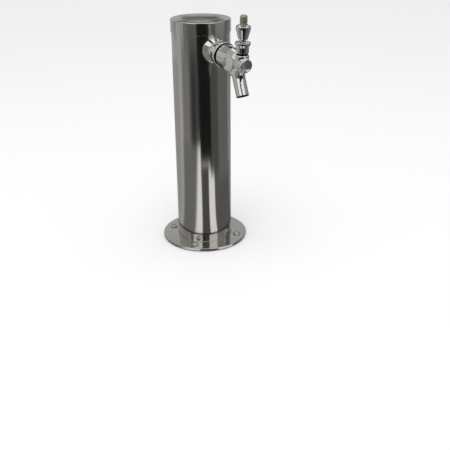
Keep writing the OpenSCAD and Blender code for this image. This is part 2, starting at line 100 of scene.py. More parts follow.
TUBE_R = TUBE_HIGH[0]
TUBE_WALL = 1.5
TUBE_AROUND = 256
CAP_R = CAP_HIGH[0]
CAP_RIM_Z, CAP_EDGE = 306.0, 1.3
CAP_PLAY, CAP_GAP = 0.1, 0.05
CROWN_R, CROWN_SLOPE, CROWN_EDGE = 30.5, 1.6, 0.8
CROWN_DOME, CROWN_RINGS = 0.5, 12
GASKET_HOLE_R = TUBE_R - TUBE_WALL
FLANGE_R = FLANGE_HIGH[1]
FLANGE_EDGE, FLANGE_PLAY = 0.9, 0.05
SCREW_HEAD_R, SCREW_HEAD_H, SCREW_EDGE = 4.9, 3.0, 0.9
SCREW_SHANK_R, SCREW_SHANK_LEN, SCREW_GAP = 2.3, 4.0, 0.02
SCREW_POLE_R, SCREW_RINGS, SCREW_AROUND = 0.05, 40, 96
RECESS_REACH, RECESS_HALF, RECESS_DEPTH = 2.4, 0.55, 1.3
RECESS_END_SOFT, RECESS_SIDE_SOFT = 0.3, 0.25

# Sizes of the shank's bell and the coupling nut

BELL_SIDE_R, BELL_TOP_R, BELL_COLLAR_R, BELL_LEN = 16.5, 15.6, 12.3, 8.8
BELL_FOOT, BELL_FLARE, BELL_RINGS, BELL_SOFT = 0.8, 5.6, 40, 0.006
BELL_GAP, BELL_EDGE, BELL_FOOT_RINGS = 0.05, 0.3, (0, 0.3, 0.5, 0.7)
SHANK_R, SHANK_PLAY = 11.1, 0.15
NUT_R, NUT_REAR_R = 15.8, 14.0
NUT_REAR, NUT_FRONT, NUT_RIM = 8.85, 24.45, 4.0
NUT_SHOULDER, NUT_EDGE, NUT_HOLE_EDGE = 2.2, 0.8, 0.4
NUT_BORE_R, COLLAR_BORE_R = 13.35, 12.85
NUT_LIP, NUT_MOUTH_R, NUT_MOUTH_LEN = 2.6, 14.7, 3.0
NUT_CELL = 0.28
SPANNER_HOLE_R = 2.25

# Sizes of the faucet's body

BODY_REAR, BODY_FILLET, BODY_HOLE_EDGE = 16.2, 1.0, 0.5
COUPLING_R, TAIL_END, TAIL_EDGE = 13.2, 30, 0.6
BARREL_R, BARREL_REAR, BARREL_END, BARREL_EDGE = 14.2, 25.05, 64, 3.0
NOSE_R, NOSE_START, NOSE_FRONT, NOSE_EDGE = 8.1, 52, 75.85, 1.5
NOSE_FILLET, LIMB_FILLET = 1.2, 0.4
DISH_R, DISH_CURVE_R = 6.8, 30.0
BARREL_STATIONS = (25.0, 46.0, 57.0, 62.0)
BARREL_RADII = (BARREL_R, BARREL_R, 12.4, NOSE_R)
BEVEL_AT, BEVEL_SLOPE, BEVEL_SOFT = 43.55, 0.833, 2.0
FLANK_AT, FLANK_HALF, FLANK_TAPER = 45.95, 12.2, 0.228
BOSS_R, BOSS_H, BOSS_EDGE = 8.2, 11.2, 1.6
BONNET_THREAD_R, BONNET_THREAD_TOP, BONNET_THREAD_EDGE = 6.4, 13.6, 0.5
SPOUT_R, SPOUT_BORE_R, SPOUT_THROAT_R = 7.8, 5.5, 4.0
SPOUT_AT, SPOUT_LEN, SPOUT_BORE_TOP = 49.65, 43.9, 12.0
SPOUT_MOUTH_R, SPOUT_MOUTH_LEN, SPOUT_EDGE = 7.0, 3.0, 1.0
SPOUT_ANGLE = math.radians(28)
SPOUT_SIN, SPOUT_COS = math.sin(SPOUT_ANGLE), math.cos(SPOUT_ANGLE)
SWEEP_R = 8.0
SWEEP_V = -BARREL_R - SWEEP_R
SWEEP_U = SPOUT_AT - (SPOUT_R + SWEEP_R + SWEEP_V * SPOUT_SIN) / SPOUT_COS
SWEEP_END = (SWEEP_U - SPOUT_AT) * SPOUT_SIN - SWEEP_V * SPOUT_COS
WEB_TOP, WEB_DEPTH, WEB_INSET, WEB_EDGE = 4, 16, 0.4, 5.0
THROAT_AHEAD, THROAT_BELOW, THROAT_INSET, THROAT_LEAST = 11.0, 15.6, 0.1, 0.5
CHAMBER_R, PASSAGE_R, GUIDE_R = 9.0, 6.4, 4.25
SEAT_AT, GUIDE_REAR, GUIDE_FRONT = 35.85, 52.55, 72.85
LEVER_SLOT_HALF, LEVER_SLOT_BACK, LEVER_SLOT_REACH = 2.7, 3.4, 6.2
LEVER_MOUTH_R, LEVER_MOUTH_LOW = 4.75, BOSS_H - 0.3
BODY_LOW, BODY_HIGH, BODY_CELL = (-15.2, BODY_REAR - MARGIN, -43.6), (15.2, 79.0, 15.2), 0.38

# Sizes of the bonnet, the lever and the ferrule

BONNET_LOW, BONNET_TOP, BONNET_BORE_R = 11.25, 25.7, 6.55
BONNET_NECK_R, BONNET_NECK_TOP = 7.7, BONNET_TOP - 5.3
BONNET_LIP_R, BONNET_LIP_LOW = 9.4, BONNET_TOP - 2.6
BONNET_MOUTH_R, BONNET_WAIST_R, BONNET_SOCKET_R = 8.3, 4.7, 5.05
BONNET_WAIST_H, BONNET_BORE_TOP = PIVOT_H + 2.0, PIVOT_H - 0.7
GROOVE_R, GROOVE_TOP = 6.8, 13.3
FERRULE_LOW, FERRULE_TOP = 29.0, 45.4
FERRULE_BORE_R, FERRULE_FOOT_R, FERRULE_R, FERRULE_CROWN_R = 4.55, 5.7, 8.75, 5.3
FERRULE_RIM_LOW, FERRULE_RIM_TOP = FERRULE_TOP - 4.6, FERRULE_TOP - 1.3
BALL_R, TIP_R, STEM_R, NECK_R, CORE_R = 5.0, 2.4, 2.0, 3.2, 4.5
BALL_STEPS, LEVER_AROUND = 24, 96
STUD_R, STUD_ROOT_R, STUD_PITCH = 4.76, 3.75, 1.5875
STUD_TOP, STUD_SUNK, STUD_CHAMFER = 56.2, 0.5, 1.6
THREAD_ROWS, THREAD_GAIN, THREAD_FLAT = 16, 1.3, 0.15


# Outlines and meshes

def rounded(*corners, closed=True):
    """Outline through (radius, height, rounding) corners, as an array of radius and height.

    Each corner becomes an arc that touches both sides, and a point just outside the arc keeps the shading
    of the straight stretches flat. An open outline keeps its first and last corner as they are.
    """
    spots = np.array([corner[:2] for corner in corners], float)
    last = len(corners) - 1
    made = []
    for i, (_, _, rounding) in enumerate(corners):
        spot = spots[i]
        if not closed and i in (0, last):
            made.append(spot[None])
            continue
        back, ahead = spots[i - 1] - spot, spots[(i + 1) % len(spots)] - spot
        back_len, ahead_len = np.linalg.norm(back), np.linalg.norm(ahead)
        back, ahead = back / back_len, ahead / ahead_len
        half = math.acos(np.clip(back @ ahead, -1, 1)) / 2
        reach = min(rounding / math.tan(half), ROUND_SHARE * back_len, ROUND_SHARE * ahead_len)
        rounding = reach * math.tan(half)
        share = np.linspace(0, 1, ROUND_STEPS if rounding > 0 else 1)[:, None]
        middle = back + ahead
        centre = spot + middle / np.linalg.norm(middle) * rounding / math.sin(half)
        chord = (spot + back * reach) * (1 - share) + (spot + ahead * reach) * share - centre
        lengths = np.maximum(np.linalg.norm(chord, axis=1, keepdims=True), TINY)
        arc = centre + chord / lengths * rounding
        support = min(SUPPORT, SUPPORT_SHARE * back_len, SUPPORT_SHARE * ahead_len)
        before, after = (spot + way * (reach + support) for way in (back, ahead))
        made += [before[None], arc, after[None]]
    return np.concatenate(made)


def upright(x, y, z):
    """Points of the column: the axis is +Z through the origin."""
    return np.stack(np.broadcast_arrays(x, y, z), axis=-1)


def on_faucet(x, u, v):
    """Points of the faucet: x to the side, u forward from the column's front, v up along the lever."""
    x, u, v = (part[..., None] for part in np.broadcast_arrays(x, u, v))
    return FAUCET_START + x * FAUCET_SIDE + u * FAUCET_FORWARD + v * FAUCET_UP


def along_faucet(a, b, h):
    """A turned shape whose axis is the faucet's."""
    return on_faucet(a, h, b)


def along_lever(a, b, h):
    """A turned shape whose axis is the lever's."""
    return on_faucet(a, LEVER_AT + b, h)


def grid_faces(rows, columns, close_rows, close_columns):
    """Quads between neighbours of a grid of points, wrapped round where a direction closes on itself."""
    row = np.arange(rows if close_rows else rows - 1)
    column = np.arange(columns if close_columns else columns - 1)
    a, b = (part.ravel() for part in np.meshgrid(row, column, indexing="ij"))
    c, d = (a + 1) % rows, (b + 1) % columns
    return np.stack([a * columns + b, a * columns + d, c * columns + d, c * columns + b], axis=1)


def turned(outline, place, closed=True, around=AROUND):
    """An outline carried once round an axis: radius times the cosine and the sine of the angle."""
    radius, height = outline[:, :1], outline[:, 1:]
    angle = np.linspace(0, 2 * math.pi, around, endpoint=False)[None]
    points = place(radius * np.cos(angle), radius * np.sin(angle), height + 0 * angle)
    return points.reshape(-1, 3), grid_faces(len(outline), around, closed, True), None


def piece(name, points, faces, normals, body, slot, material, replaces=()):
    """A mesh of the object: faces turned outwards, smooth, riding on its body.

    Doubles are merged, unless the points bring the normals that they are shaded with.
    """
    mesh = bpy.data.meshes.new(name)
    mesh.from_pydata((points * MM).tolist(), [], faces.tolist())
    shape = bmesh.new()
    shape.from_mesh(mesh)
    if normals is None:
        bmesh.ops.remove_doubles(shape, verts=shape.verts, dist=SAME_PLACE)
        bmesh.ops.dissolve_degenerate(shape, edges=shape.edges, dist=SAME_PLACE)
    bmesh.ops.recalc_face_normals(shape, faces=shape.faces)
    shape.to_mesh(mesh)
    shape.free()
    mesh.polygons.foreach_set("use_smooth", np.ones(len(mesh.polygons), bool))
    if normals is not None:
        mesh.normals_split_custom_set_from_vertices(normals.tolist())
    mesh.materials.append(material)
    made = bpy.data.objects.new(name, mesh)
    bpy.context.scene.collection.objects.link(made)
    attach(made, body)
    if replaces:
        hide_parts(*replaces)
    return made


# Surfaces found where a distance is nought

CORNERS = np.array([(a, b, c) for a in (0, 1) for b in (0, 1) for c in (0, 1)])
EDGES = [(i, j) for i in range(8) for j in range(i) if np.abs(CORNERS[i] - CORNERS[j]).sum() == 1]
EVENING_ROUNDS, DRAWING_ROUNDS, LEAST_STEEPNESS = 3, 3, 0.2


def slope_of(distance, points, step=0.02):
    """Gradient of the distance at points, from its differences over a small step to either side."""
    rises = [distance(*(points + move).T) - distance(*(points - move).T) for move in step * np.eye(3)]
    return np.stack([rise / (2 * step) for rise in rises], axis=1)


def contour(distance, low, high, cell):
    """Points, quads and normals of the surface where distance(x, u, v) is nought.

    A grid is sampled, each cell that the surface crosses gets one point at the mean of the crossings on its
    edges, and the four cells round each crossed grid edge share a quad. The points are then evened out
    among their neighbours and drawn onto the surface along its slope.
    """
    axes = [np.arange(a, b + cell, cell) for a, b in zip(low, high)]
    field = distance(*np.meshgrid(*axes, indexing="ij"))
    inside = field < 0
    size = np.array(field.shape) - 1
    windows = [tuple(slice(a, n + a) for a, n in zip(corner, size)) for corner in CORNERS]
    count = sum(inside[window].astype(np.int8) for window in windows)
    crossed = np.argwhere((count > 0) & (count < len(CORNERS)))
    index = np.full(size, -1)
    index[tuple(crossed.T)] = np.arange(len(crossed))
    values = np.stack([field[tuple((crossed + corner).T)] for corner in CORNERS], axis=1)
    total, number = np.zeros((len(crossed), 3)), np.zeros((len(crossed), 1))
    for i, j in EDGES:
        split = (values[:, i] < 0) != (values[:, j] < 0)
        share = values[:, i] / np.where(split, values[:, i] - values[:, j], 1)
        crossing = CORNERS[i] + share[:, None] * (CORNERS[j] - CORNERS[i])
        total += np.where(split[:, None], crossing, 0)
        number += split[:, None]
    points = (crossed + total / number) * cell + np.array(low)

    quads = []
    for axis in range(3):
        other = [a for a in range(3) if a != axis]
        start = [slice(None)] * 3
        start[axis] = slice(0, size[axis])
        end = [slice(None)] * 3
        end[axis] = slice(1, size[axis] + 1)
        spots = np.argwhere(inside[tuple(start)] != inside[tuple(end)])
        ring = []
        for a, b in ((0, 0), (1, 0), (1, 1), (0, 1)):
            near = spots.copy()
            near[:, other[0]] -= a
            near[:, other[1]] -= b
            ring.append(index[tuple(near.T)])
        quads.append(np.stack(ring, axis=1))
    quads = np.concatenate(quads)

    edges = np.concatenate([quads[:, [i, (i + 1) % 4]] for i in range(4)])
    edges = np.concatenate([edges, edges[:, ::-1]])
    for _ in range(EVENING_ROUNDS):
        near = np.zeros_like(points)
        np.add.at(near, edges[:, 0], points[edges[:, 1]])
        even = near / np.bincount(edges[:, 0], minlength=len(points))[:, None]
        points = points + (even - points) / 2
        for _ in range(DRAWING_ROUNDS):
            slope = slope_of(distance, points)
            steepness = np.maximum((slope ** 2).sum(1, keepdims=True), LEAST_STEEPNESS)
            pull = distance(*points.T)[:, None] * slope / steepness
            points = points - np.clip(pull, -cell / 2, cell / 2)
    slope = slope_of(distance, points, cell / 3)
    return points, quads, slope / np.maximum(np.linalg.norm(slope, axis=1, keepdims=True), TINY)


def merge(a, b, soft):
    """Union of two distances, with a fillet about as wide as soft."""
    h = np.maximum(soft - np.abs(a - b), 0) / soft
    return np.minimum(a, b) - h * h * soft / 4


def trim(a, b, soft):
    """Part of a inside b, with the edge rounded about as wide as soft."""
    return -merge(-a, -b, soft)


def rod(radial, along, radius, start, end, soft):
    """Distance to a round bar: outside its radius, or past one of its ends."""
    return trim(radial - radius, np.maximum(start - along, along - end), soft)


# Materials

NOISE_LOW, NOISE_HIGH = 0.3, 0.7
TINT_LOW, TINT_HIGH = 0.35, 0.65


def nodes_of(name):
    """New material, its node tree and the shader in it."""
    material = bpy.data.materials.new(name)
    material.use_nodes = True
    tree = material.node_tree
    return material, tree, tree.nodes["Principled BSDF"]


def noise(tree, scale, stretch=(1, 1, 1), detail=3.0):
    """Noise on Object coordinates, stretched along the axes."""
    where = tree.nodes.new("ShaderNodeTexCoord")
    mapping = tree.nodes.new("ShaderNodeMapping")
    mapping.inputs["Scale"].default_value = stretch
    texture = tree.nodes.new("ShaderNodeTexNoise")
    texture.inputs["Scale"].default_value = scale
    texture.inputs["Detail"].default_value = detail
    tree.links.new(where.outputs["Object"], mapping.inputs["Vector"])
    tree.links.new(mapping.outputs["Vector"], texture.inputs["Vector"])
    return texture.outputs["Fac"]


def spread(tree, value, low, high):
    """A noise value carried over to the range from low to high."""
    ranged = tree.nodes.new("ShaderNodeMapRange")
    ranged.inputs["From Min"].default_value = NOISE_LOW
    ranged.inputs["From Max"].default_value = NOISE_HIGH
    ranged.inputs["To Min"].default_value = low
    ranged.inputs["To Max"].default_value = high
    tree.links.new(value, ranged.inputs["Value"])
    return ranged.outputs["Result"]


def bump(tree, shader, height, distance, strength=1.0):
    """Bump of the shader's normal from a height, in metres."""
    node = tree.nodes.new("ShaderNodeBump")
    node.inputs["Distance"].default_value = distance
    node.inputs["Strength"].default_value = strength
    tree.links.new(height, node.inputs["Height"])
    tree.links.new(node.outputs["Normal"], shader.inputs["Normal"])


def tinted(tree, shader, value, dark, light):
    """Base colour between two tones, by a noise value."""
    ramp = tree.nodes.new("ShaderNodeValToRGB")
    for element, position, tone in zip(ramp.color_ramp.elements, (TINT_LOW, TINT_HIGH), (dark, light)):
        element.position = position
        element.color = (*tone, 1)
    tree.links.new(value, ramp.inputs["Fac"])
    tree.links.new(ramp.outputs["Color"], shader.inputs["Base Color"])


def polished_steel():
    """Mirror-polished stainless: faint drawing lines along the tube and soft smears in the gloss."""
    material, tree, shader = nodes_of("polished_steel")
    shader.inputs["Metallic"].default_value = 1.0
    tinted(tree, shader, noise(tree, 14, (1, 1, 0.3)), (0.58, 0.565, 0.53), (0.64, 0.625, 0.59))
    smear = spread(tree, noise(tree, 30, (1, 1, 0.25), 5), 0.09, 0.15)
    tree.links.new(smear, shader.inputs["Roughness"])
    bump(tree, shader, noise(tree, 26, (1, 1, 0.06), 2), 0.0004, 0.25)
    return material


def chrome():
    """Bright chrome plate with the slight waviness of polished castings, and near-black painted shade where a
    piece's points carry it.
    """
    material, tree, shader = nodes_of("chrome")
    shader.inputs["Metallic"].default_value = 1.0
    tinted(tree, shader, noise(tree, 60), (0.76, 0.755, 0.74), (0.81, 0.805, 0.79))
    plate = shader.inputs["Base Color"].links[0].from_socket
    # Painted shade: a point attribute darkens the plate to near black in bores, slits, grooves and on the spout's
    # end
    painted_shade = tree.nodes.new("ShaderNodeAttribute")
    painted_shade.attribute_name = "painted_shade"
    metal = tree.nodes.new("ShaderNodeMixRGB")
    metal.inputs["Color2"].default_value = (0.035, 0.033, 0.030, 1)
    tree.links.new(painted_shade.outputs["Fac"], metal.inputs["Fac"])
    tree.links.new(plate, metal.inputs["Color1"])
    tree.links.new(metal.outputs["Color"], shader.inputs["Base Color"])
    tree.links.new(spread(tree, noise(tree, 140, detail=5), 0.03, 0.08), shader.inputs["Roughness"])
    bump(tree, shader, noise(tree, 130, detail=2), 0.0002, 0.03)
    return material


def brass():
    """Turned brass, greyed by handling, with fine tool marks."""
    material, tree, shader = nodes_of("brass")
    shader.inputs["Metallic"].default_value = 1.0
    tinted(tree, shader, noise(tree, 220), (0.38, 0.35, 0.25), (0.66, 0.62, 0.51))
    tree.links.new(spread(tree, noise(tree, 400), 0.08, 0.20), shader.inputs["Roughness"])
    bump(tree, shader, noise(tree, 900, (0.2, 0.2, 3)), 0.0001, 0.4)
    return material


def turned_steel():
    """Turned stainless steel of the hidden fittings and the screws."""
    material, tree, shader = nodes_of("turned_steel")
    shader.inputs["Metallic"].default_value = 1.0
    tinted(tree, shader, noise(tree, 180), (0.50, 0.50, 0.50), (0.60, 0.60, 0.60))
    tree.links.new(spread(tree, noise(tree, 260), 0.12, 0.26), shader.inputs["Roughness"])
    bump(tree, shader, noise(tree, 700, (1, 0.2, 1)), 0.0001, 0.2)
    return material


def rubber():
    """Matt black rubber with a fine grain."""
    material, tree, shader = nodes_of("rubber")
    tinted(tree, shader, noise(tree, 300), (0.015, 0.015, 0.016), (0.035, 0.035, 0.036))
    tree.links.new(spread(tree, noise(tree, 500), 0.55, 0.75), shader.inputs["Roughness"])
    bump(tree, shader, noise(tree, 1500), 0.0002, 0.4)
    return material


def nylon():
    """Natural nylon of the friction ring."""
    material, tree, shader = nodes_of("nylon")
    tinted(tree, shader, noise(tree, 200), (0.76, 0.74, 0.67), (0.84, 0.82, 0.76))
    tree.links.new(spread(tree, noise(tree, 400), 0.35, 0.5), shader.inputs["Roughness"])
    bump(tree, shader, noise(tree, 900), 0.0001, 0.3)
    return material


FINISHES = {make.__name__: make() for make in (polished_steel, chrome, brass, turned_steel, rubber, nylon)}
for part in frame["record"]["subparts"]:
    mesh = frame["nodes"][part["node"]].data
    mesh.materials.clear()
    mesh.materials.append(FINISHES[part["material_slot"]])


def dress(name, shape, body, slot, replaces=()):
    """A piece in the finish of its slot."""
    return piece(name, *shape, body, slot, FINISHES[slot], replaces)


# Column, cap and base

def column_outline():
    """The tube's wall: outside, top edge, inside and foot."""
    low, high = TUBE_LOW[2], TUBE_HIGH[2]
    inner = TUBE_R - TUBE_WALL
    return rounded((TUBE_R, low, 0.1), (TUBE_R, high, 0.3), (inner, high, 0.3), (inner, low, 0.1))


def cap_outline():
    """The cap from its inside outwards: skirt, rounded edge, flat rim, sloping riser and domed middle."""
    low, crown = CAP_LOW[2], CAP_HIGH[2]
    inner = TUBE_R + CAP_PLAY
    under = TUBE_HIGH[2] + CAP_GAP
    outline = rounded(
        (0, under, 0), (inner, under, 0.3), (inner, low, 0.15),
        (CAP_R, low, 0.25), (CAP_R, CAP_RIM_Z, CAP_EDGE),
        (CROWN_R + CROWN_SLOPE, CAP_RIM_Z, CROWN_EDGE), (CROWN_R, crown - CROWN_DOME, CROWN_EDGE),
        closed=False)
    share = np.linspace(1, 0, CROWN_RINGS)[1:]
    dome = np.stack([CROWN_R * share, crown - CROWN_DOME * share ** 2], axis=1)
    return np.concatenate([outline, dome])


def flange_outline():
    """The flange: foot, rounded upper edges and the hole for the tube. The screws cover their holes."""
    low, high = FLANGE_LOW[2], FLANGE_HIGH[2]
    inner = TUBE_R + FLANGE_PLAY
    return rounded(
        (inner, low, 0.1), (FLANGE_R, low, 0.2), (FLANGE_R, high, FLANGE_EDGE), (inner, high, FLANGE_EDGE))


def gasket_outline():
    """The flat gasket under the flange."""
    low, high, outer = GASKET_LOW[2], GASKET_HIGH[2], GASKET_HIGH[1]
    return rounded(
        (GASKET_HOLE_R, low, 0.1), (outer, low, 0.2), (outer, high, 0.2), (GASKET_HOLE_R, high, 0.1))


def domed_screw(x, y):
    """A domed screw at (x, y): rings of the dome from its pole outwards, then underside, shank and end.

    The dome is half an ellipse over the radius. A cross is sunk into it where either coordinate is small
    and the radius is inside the cross's reach.
    """
    radius = np.concatenate([np.zeros(1), np.linspace(SCREW_POLE_R, SCREW_HEAD_R, SCREW_RINGS)])[:, None]
    angle = np.linspace(0, 2 * math.pi, SCREW_AROUND, endpoint=False)[None]
    a, b = radius * np.cos(angle), radius * np.sin(angle)
    arch = np.sqrt(np.maximum(1 - (radius / SCREW_HEAD_R) ** 2, 0))
    dome = SCREW_EDGE + (SCREW_HEAD_H - SCREW_EDGE) * arch
    arm = np.clip((RECESS_HALF - np.minimum(np.abs(a), np.abs(b))) / RECESS_SIDE_SOFT + 0.5, 0, 1)
    reach = np.clip((RECESS_REACH - radius) / RECESS_END_SOFT + 0.5, 0, 1)
    head = np.stack([a, b, dome - RECESS_DEPTH * arm * reach], axis=-1)
    ring_r = np.array([SCREW_HEAD_R, SCREW_SHANK_R, SCREW_SHANK_R, 0.0])[:, None]
    ring_h = np.array([SCREW_GAP, 0.0, -SCREW_SHANK_LEN, -SCREW_SHANK_LEN])[:, None]
    below = np.stack([ring_r * np.cos(angle), ring_r * np.sin(angle), ring_h + 0 * angle], axis=-1)
    points = np.concatenate([head, below]) + np.array([x, y, FLANGE_HIGH[2] + SCREW_GAP])
    return points.reshape(-1, 3), grid_faces(len(points), SCREW_AROUND, False, True), None


tube = turned(column_outline(), upright, around=TUBE_AROUND)
cap = turned(cap_outline(), upright, closed=False, around=TUBE_AROUND)
flange = turned(flange_outline(), upright, around=TUBE_AROUND)
dress("tube", tube, "tower", "polished_steel", ["column_tube"])
dress("cap", cap, "cap", "polished_steel", ["column_cap"])
dress("flange", flange, "tower", "polished_steel", ["base_flange"])
dress("gasket", turned(gasket_outline(), upright), "tower", "rubber", ["base_gasket"])
for number in range(SCREW_COUNT):
    turn = 2 * math.pi * (number + 0.5) / SCREW_COUNT
    spot = SCREW_CIRCLE_R * math.cos(turn), SCREW_CIRCLE_R * math.sin(turn)
    dress(f"base_screw_{number + 1}", domed_screw(*spot), "tower", "turned_steel")


# Shank bell and coupling nut

def wall_ahead(x, v):
    """How far forward along the faucet's axis the column's wall lies, for a line at x to the side and v up.

    The wall is where the depth of the column's circle at x meets the line's own depth.
    """
    return (np.sqrt(TUBE_R ** 2 - x ** 2) + FAUCET_START[1] + v * FAUCET_UP[1]) / -FAUCET_FORWARD[1]


def shank_bell():
    """The bell: rings round the shank whose way forward is counted from the column's wall.

    The radius goes from the foot's, which is a little larger at the sides, to the collar's along a straight
    flare with a soft end, and the last rings close the collar's front and run back through the bore.
    """
    angle = np.linspace(0, 2 * math.pi, AROUND, endpoint=False)[None]
    foot_r = BELL_TOP_R + (BELL_SIDE_R - BELL_TOP_R) * np.cos(angle) ** 2
    flare = np.linspace(BELL_FOOT, BELL_FOOT + BELL_FLARE + 1, BELL_RINGS)
    ahead = np.concatenate([BELL_FOOT_RINGS, flare])[:, None]
    left = 1 - (ahead - BELL_FOOT) / BELL_FLARE
    share = np.where(ahead < BELL_FOOT, 1, (left + np.sqrt(left ** 2 + BELL_SOFT)) / 2)
    share = np.minimum(share, 1)
    radius = BELL_COLLAR_R + (foot_r - BELL_COLLAR_R) * share
    forward = ahead + BELL_GAP + wall_ahead(radius * np.cos(angle), radius * np.sin(angle))
    bore = SHANK_R + SHANK_PLAY
    front = np.array([
        [BELL_COLLAR_R, BELL_LEN - BELL_EDGE], [BELL_COLLAR_R - 0.1, BELL_LEN - 0.08],
        [BELL_COLLAR_R - BELL_EDGE, BELL_LEN], [bore, BELL_LEN]])
    rear = BELL_GAP + wall_ahead(bore * np.cos(angle), bore * np.sin(angle))
    radius = np.concatenate([radius, front[:, :1] + 0 * angle, bore + 0 * angle])
    forward = np.concatenate([forward, front[:, 1:] + 0 * angle, rear])
    points = along_faucet(radius * np.cos(angle), radius * np.sin(angle), forward)
    return points.reshape(-1, 3), grid_faces(len(radius), AROUND, True, True), None


def nut_inside(x, u, v):
    """Inside of the coupling nut: the shank's bore, the collar's seat and a thread with a wider mouth."""
    radial = np.hypot(x, v)
    seat = rod(radial, u, COLLAR_BORE_R, NUT_REAR + NUT_LIP, NUT_FRONT + PAST, CRISP)
    bore_r = np.interp(u, (NUT_FRONT - NUT_MOUTH_LEN, NUT_FRONT), (NUT_BORE_R, NUT_MOUTH_R))
    thread_bore = rod(radial, u, bore_r, BODY_REAR, NUT_FRONT + PAST, CRISP)
    return merge(merge(radial - SHANK_R - SHANK_PLAY, seat, CRISP), thread_bore, CRISP)


def nut_distance(x, u, v):
    """The coupling nut: a bar that widens forward to its rim, less its inside and the spanner hole."""
    radial = np.hypot(x, v)
    outer_r = np.interp(u, (NUT_REAR + NUT_SHOULDER, NUT_FRONT - NUT_RIM), (NUT_REAR_R, NUT_R))
    bar = trim(trim(radial - outer_r, NUT_REAR - u, 2 * NUT_SHOULDER), u - NUT_FRONT, NUT_EDGE)
    spanner = np.maximum(np.hypot(x, u - (NUT_REAR + NUT_LIP + NUT_FRONT) / 2) - SPANNER_HOLE_R, v)
    return trim(bar, -merge(nut_inside(x, u, v), spanner, BROKEN), NUT_HOLE_EDGE)


def moulded(distance, low, high, cell):
    """A contour in the faucet's frame."""
    points, faces, normals = contour(distance, low, high, cell)
    return on_faucet(*points.T), faces, normals @ FAUCET_AXES


def paint_inner_shade(made, inside):
    """Paints shade on a piece's points near its inside, where that distance is small: near black, fading out."""
    points = np.empty(3 * len(made.data.vertices))
    made.data.vertices.foreach_get("co", points)
    x, u, v = ((points.reshape(-1, 3) / MM - FAUCET_START) @ FAUCET_AXES.T).T
    painted_shade = np.clip((SHADE_WITHIN - inside(x, u, v)) / SHADE_FADE, 0, 1)
    made.data.attributes.new("painted_shade", "FLOAT", "POINT").data.foreach_set("value", painted_shade)


dress("shank_bell_flare", shank_bell(), "tower", "chrome", ["shank_bell"])
nut_low = -NUT_R - MARGIN, NUT_REAR - MARGIN, -NUT_R - MARGIN
nut_high = NUT_R + MARGIN, NUT_FRONT + MARGIN, NUT_R + MARGIN
nut = moulded(nut_distance, nut_low, nut_high, NUT_CELL)
# Painted shade on the nut's inner surfaces, which show as the dark slit at its mouth
paint_inner_shade(dress("coupling_ring", nut, "tower", "chrome", ["coupling_nut"]), nut_inside)


# Faucet body

def on_spout(u, v):
    """Ways along the spout's axis and across it: u and v from its start, turned by its angle."""
    return (u - SPOUT_AT) * SPOUT_SIN - v * SPOUT_COS, (u - SPOUT_AT) * SPOUT_COS + v * SPOUT_SIN


def body_outside(x, u, v):
    """Outside of the cast body.

    A round barrel is cut in front by two bevels and by flat flanks that close towards the nose. A web with
    the same flanks fills the hollow sweep behind the spout. The throat between the nose and the spout is a
    quarter of an ellipse over the ways out from both, and falls off to the sides as round as the spout. The
    spout, the nose and the lever's boss are bars, each run into the rest with a fillet. The nose's face is
    dished: the depth falls with the square of the radius, to nought at the dish's edge.
    """
    radial = np.hypot(x, v)
    side = np.abs(x)
    flank_half = FLANK_HALF - FLANK_TAPER * (u - FLANK_AT)
    half = -merge(BEVEL_SLOPE * (u - BEVEL_AT) - BARREL_R, -flank_half, BEVEL_SOFT)
    barrel_r = np.interp(u, BARREL_STATIONS, BARREL_RADII)
    barrel = trim(trim(radial - barrel_r, u - BARREL_END, BODY_FILLET), BARREL_REAR - u, BARREL_EDGE)
    core = trim(barrel, side - np.maximum(half, NOSE_R), BEVEL_SOFT)

    along, across = on_spout(u, v)
    spout = rod(np.hypot(across, x), along, SPOUT_R, 0, SPOUT_LEN, SPOUT_EDGE)

    depth = np.clip((-v - WEB_TOP) / WEB_DEPTH, 0, 1)
    web_half = (1 - depth) * half + depth * (SPOUT_R - WEB_INSET)
    web = trim(SWEEP_R - np.hypot(u - SWEEP_U, v - SWEEP_V), side - web_half, WEB_EDGE)
    web = trim(web, np.maximum(np.maximum(v, SWEEP_U - u), np.maximum(across, along - SWEEP_END)), CRISP)

    fall = SPOUT_R - np.sqrt(np.maximum(SPOUT_R ** 2 - x ** 2, THROAT_LEAST))
    ahead, below = across - SPOUT_R + fall, -v - NOSE_R + fall
    throat = THROAT_AHEAD * (1 - np.hypot(1 - ahead / THROAT_AHEAD, 1 - below / THROAT_BELOW))
    past_ends = np.maximum(ahead - THROAT_AHEAD, below - THROAT_BELOW)
    reach = np.maximum(past_ends, np.maximum(v, -across))
    throat = trim(np.maximum(throat, side - SPOUT_R + THROAT_INSET), reach, CRISP)
    dished = u + np.maximum(DISH_R ** 2 - radial ** 2, 0) / (2 * DISH_CURVE_R)
    throat = trim(throat, dished - NOSE_FRONT, NOSE_EDGE)

    nose = rod(radial, dished, NOSE_R, NOSE_START, NOSE_FRONT, NOSE_EDGE)
    from_lever = np.hypot(x, u - LEVER_AT)
    boss = rod(from_lever, v, BOSS_R, 0, BOSS_H, BOSS_EDGE)
    bonnet_thread = rod(from_lever, v, BONNET_THREAD_R, 0, BONNET_THREAD_TOP, BONNET_THREAD_EDGE)
    tail = rod(radial, u, COUPLING_R, BODY_REAR, TAIL_END, TAIL_EDGE)
    limb = merge(merge(spout, web, LIMB_FILLET), throat, LIMB_FILLET)
    body = merge(merge(core, limb, BODY_FILLET), merge(nose, boss, NOSE_FILLET), BODY_FILLET)
    return np.minimum(np.minimum(body, bonnet_thread), tail)


